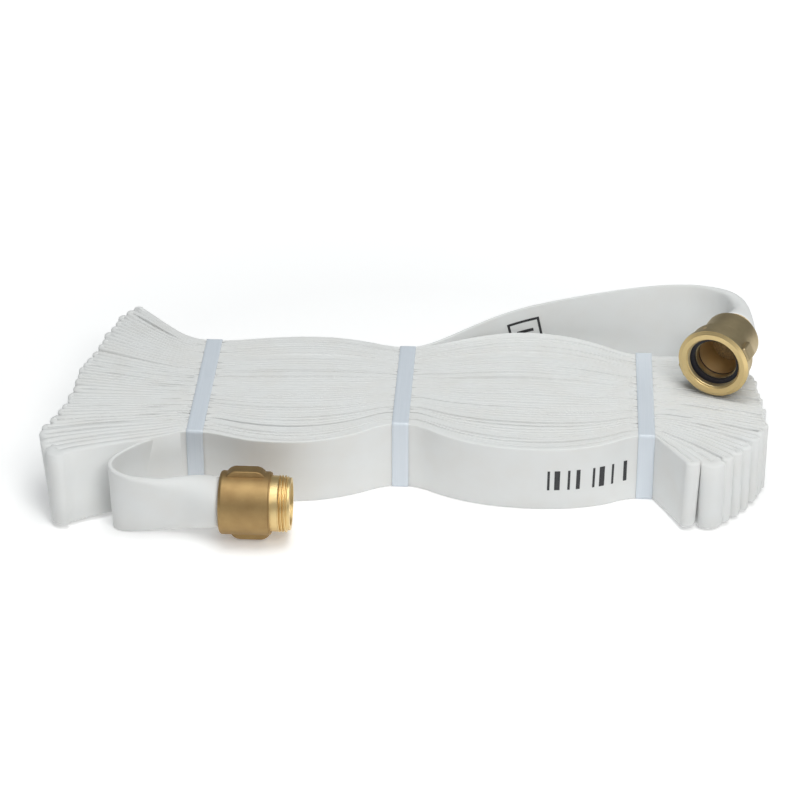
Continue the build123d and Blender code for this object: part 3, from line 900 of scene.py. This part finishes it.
def hose_material():
    """White woven jacket: warp ribs along the hose crossed by the filler, with faint soiling."""
    material, shader = new_material("woven_jacket", (0.7, 0.7, 0.69), 0.82)
    shader.inputs["Sheen Weight"].default_value = 0.15
    shader.inputs["Sheen Roughness"].default_value = 0.5
    uv = add_node(material, "ShaderNodeUVMap", uv_map="weave")
    split = add_node(material, "ShaderNodeSeparateXYZ")
    join(material, uv.outputs["UV"], split.inputs[0])
    pitch_along = 2 * math.pi / 0.0016
    pitch_across = 2 * math.pi / 0.0011
    along_wave = maths(material, "SINE", maths(material, "MULTIPLY", split.outputs["X"], pitch_along))
    across_wave = maths(material, "SINE", maths(material, "MULTIPLY", split.outputs["Y"], pitch_across))
    weave = maths(material, "MULTIPLY", along_wave, across_wave)
    place = add_node(material, "ShaderNodeTexCoord")
    soft = noise(material, 38, 3, place.outputs["Object"])
    fine = noise(material, 900, 2, place.outputs["Object"])
    height = maths(material, "ADD", weave, maths(material, "MULTIPLY", fine, 0.8))
    height = maths(material, "ADD", height, maths(material, "MULTIPLY", soft, 3.0))
    bump(material, shader, height, 0.09, 0.00010)
    tone = maths(material, "ADD", soft, maths(material, "MULTIPLY", fine, 0.05))
    colour = ramp(material, tone, [(0.30, (0.750, 0.750, 0.735)), (0.65, (0.765, 0.775, 0.770))])
    join(material, colour, shader.inputs["Base Color"])
    return material


def band_material():
    """Bluish-white plastic film with faint lines along it."""
    material, shader = new_material("band_plastic", (0.62, 0.67, 0.76), 0.34)
    shader.inputs["Coat Weight"].default_value = 0.25
    shader.inputs["Coat Roughness"].default_value = 0.2
    place = add_node(material, "ShaderNodeTexCoord")
    stretch = add_node(material, "ShaderNodeMapping", Scale=(900, 18, 18))
    join(material, place.outputs["Object"], stretch.inputs["Vector"])
    lines = noise(material, 1.0, 2, stretch.outputs["Vector"])
    colour = ramp(material, lines, [(0.30, (0.645, 0.700, 0.760)), (0.70, (0.675, 0.725, 0.785))])
    join(material, colour, shader.inputs["Base Color"])
    bump(material, shader, lines, 0.05, 0.0001)
    return material


def mixed(material, factor, first, second):
    """A colour or a value between two others."""
    node = add_node(material, "ShaderNodeMixRGB")
    for socket, value in ((node.inputs["Fac"], factor), (node.inputs[1], first), (node.inputs[2], second)):
        if isinstance(value, tuple):
            socket.default_value = (*value, 1)
        else:
            join(material, value, socket)
    return node.outputs["Color"]


def brass_material(
    name, dark, light, rough_low, rough_high, grain_scale, grain, axis=None, mouth=None, machined=0
):
    """Brass: patchy tone, fine grain and uneven polish, brighter where it is machined, near the mouth."""
    material, shader = new_material(name, light, rough_low, 1.0)
    place = add_node(material, "ShaderNodeTexCoord")
    patches = noise(material, 45, 4, place.outputs["Object"])
    pits = noise(material, grain_scale, 3, place.outputs["Object"])
    colour = ramp(material, patches, [(0.32, dark), (0.66, light)])
    polish = add_node(material, "ShaderNodeMapRange")
    join(material, patches, polish.inputs["Value"])
    polish.inputs["To Min"].default_value = rough_high
    polish.inputs["To Max"].default_value = rough_low
    roughness = polish.outputs["Result"]
    height = pits
    if axis is not None:
        dot = add_node(material, "ShaderNodeVectorMath", operation="DOT_PRODUCT")
        join(material, place.outputs["Object"], dot.inputs[0])
        dot.inputs[1].default_value = tuple(axis)
        station = maths(material, "SUBTRACT", dot.outputs["Value"], float(np.dot(mouth, axis)))
        bright = maths(material, "LESS_THAN", station, machined)
        rings = maths(material, "SINE", maths(material, "MULTIPLY", station, 2 * math.pi / 0.0007))
        colour = mixed(material, bright, colour, (0.80, 0.61, 0.30))
        smooth = maths(material, "MULTIPLY", bright, 0.12)
        roughness = maths(material, "SUBTRACT", roughness, smooth)
        lathe = maths(material, "MULTIPLY", maths(material, "MULTIPLY", rings, bright), 0.25)
        height = maths(material, "ADD", pits, lathe)
    join(material, colour, shader.inputs["Base Color"])
    join(material, roughness, shader.inputs["Roughness"])
    bump(material, shader, height, grain, 0.0003)
    return material


def rubber_material(name, colour):
    material, shader = new_material(name, colour, 0.55)
    place = add_node(material, "ShaderNodeTexCoord")
    specks = noise(material, 700, 2, place.outputs["Object"])
    tone = ramp(material, specks, [(0.3, colour), (0.8, tuple(min(1, 1.8 * c + 0.004) for c in colour))])
    join(material, tone, shader.inputs["Base Color"])
    bump(material, shader, specks, 0.2, 0.0002)
    return material


def ball_material():
    material, shader = new_material("ball_steel", (0.62, 0.62, 0.64), 0.18, 1.0)
    place = add_node(material, "ShaderNodeTexCoord")
    haze = noise(material, 300, 2, place.outputs["Object"])
    join(material, ramp(material, haze, [(0.3, (0.56, 0.56, 0.58)), (0.7, (0.66, 0.66, 0.68))]),
         shader.inputs["Base Color"])
    return material


JACKET = hose_material()
LINER = rubber_material("liner_rubber", (0.50, 0.37, 0.20))
for piece in (male_hose, female_hose, pack):
    piece.data.materials.append(JACKET)
for piece in (male_hose, female_hose):
    piece.data.materials.append(LINER)
    piece.data.polygons[len(piece.data.polygons) - 1].material_index = 1
INK = rubber_material("printing_ink", (0.020, 0.020, 0.022))
for piece in (front_marks, rear_marks):
    piece.data.materials.append(INK)
FILM = band_material()
for piece in bands.values():
    piece.data.materials.append(FILM)
MALE_AXIS = np.array([-1.0, 0.0, 0.0])
MALE_MACHINED = 0.0176
MALE_END = np.array([-0.0876, -0.163, 0.0336])
FEMALE_MACHINED = 0.0017
MALE_BRASS = brass_material(
    "cast_brass_male", (0.36, 0.235, 0.105), (0.45, 0.31, 0.14), 0.50, 0.62, 1500, 0.35,
    MALE_AXIS, MALE_END - FOOTPRINT, MALE_MACHINED,
)
FEMALE_BRASS = brass_material(
    "cast_brass_female", (0.44, 0.35, 0.21), (0.58, 0.475, 0.28), 0.42, 0.56, 1500, 0.30,
    FEMALE_AXIS, FEMALE_MOUTH - FOOTPRINT, FEMALE_MACHINED,
)
ROLLED = brass_material("rolled_brass", (0.62, 0.46, 0.24), (0.74, 0.57, 0.32), 0.30, 0.42, 2500, 0.12)
ROLLED.node_tree.nodes["Principled BSDF"].inputs["Metallic"].default_value = 0.65
GASKET = rubber_material("gasket_rubber", (0.010, 0.010, 0.016))
BALLS = ball_material()
NODE_MATERIALS = {
    "male_coupling_body": MALE_BRASS, "male_expansion_ring": ROLLED, "male_tail_gasket": GASKET,
    "male_hose_end_jacket": JACKET, "male_hose_end_liner": LINER, "female_swivel_ring": FEMALE_BRASS,
    "female_bowl": FEMALE_BRASS, "ball_plug": ROLLED, "swivel_balls": BALLS, "thread_gasket": GASKET,
    "female_tail_gasket": GASKET, "female_expansion_ring": ROLLED, "female_hose_end_jacket": JACKET,
    "female_hose_end_liner": LINER,
}
for node_name, material in NODE_MATERIALS.items():
    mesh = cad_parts[node_name].data
    mesh.materials.clear()
    mesh.materials.append(material)


# ---------------------------------------------------------------- floor and light
def make_stage():
    mesh = bpy.data.meshes.new("floor")
    size = 12.0
    corners = [(-size, -size, 0), (size, -size, 0), (size, size, 0), (-size, size, 0)]
    mesh.from_pydata(corners, [], [(0, 1, 2, 3)])
    floor = bpy.data.objects.new("floor", mesh)
    floor.location.z = -0.0002
    bpy.context.scene.collection.objects.link(floor)
    material, shader = new_material("floor_white", (0.92, 0.92, 0.92), 0.9)
    shader.inputs["Emission Color"].default_value = (1, 1, 1, 1)
    place = add_node(material, "ShaderNodeTexCoord")
    away = add_node(material, "ShaderNodeVectorMath", operation="LENGTH")
    join(material, place.outputs["Object"], away.inputs[0])
    glow = add_node(material, "ShaderNodeMapRange")
    join(material, away.outputs["Value"], glow.inputs["Value"])
    for key, value in (("From Min", 0.35), ("From Max", 1.1), ("To Min", 0.22), ("To Max", 0.65)):
        glow.inputs[key].default_value = value
    join(material, glow.outputs["Result"], shader.inputs["Emission Strength"])
    mesh.materials.append(material)


def area_light(name, place, target, size, power, colour):
    light = bpy.data.lights.new(name, "AREA")
    light.shape = "DISK"
    light.size = size
    light.energy = power
    light.color = colour
    lamp = bpy.data.objects.new(name, light)
    lamp.location = place
    lamp.rotation_euler = (Vector(target) - Vector(place)).to_track_quat("-Z", "Y").to_euler()
    bpy.context.scene.collection.objects.link(lamp)


make_stage()
area_light("key", (1.0, -1.8, 2.2), (0, 0, 0), 1.3, 27, (1.0, 0.99, 0.965))
area_light("top", (0.2, -0.3, 2.5), (0, 0, 0), 1.8, 36, (0.985, 1.0, 0.995))
world = bpy.data.worlds.new("studio")
world.use_nodes = True
world.node_tree.nodes["Background"].inputs["Color"].default_value = (0.92, 0.965, 1.0, 1)
world.node_tree.nodes["Background"].inputs["Strength"].default_value = 0.20
bpy.context.scene.world = world
bpy.context.scene.view_settings.view_transform = "Standard"
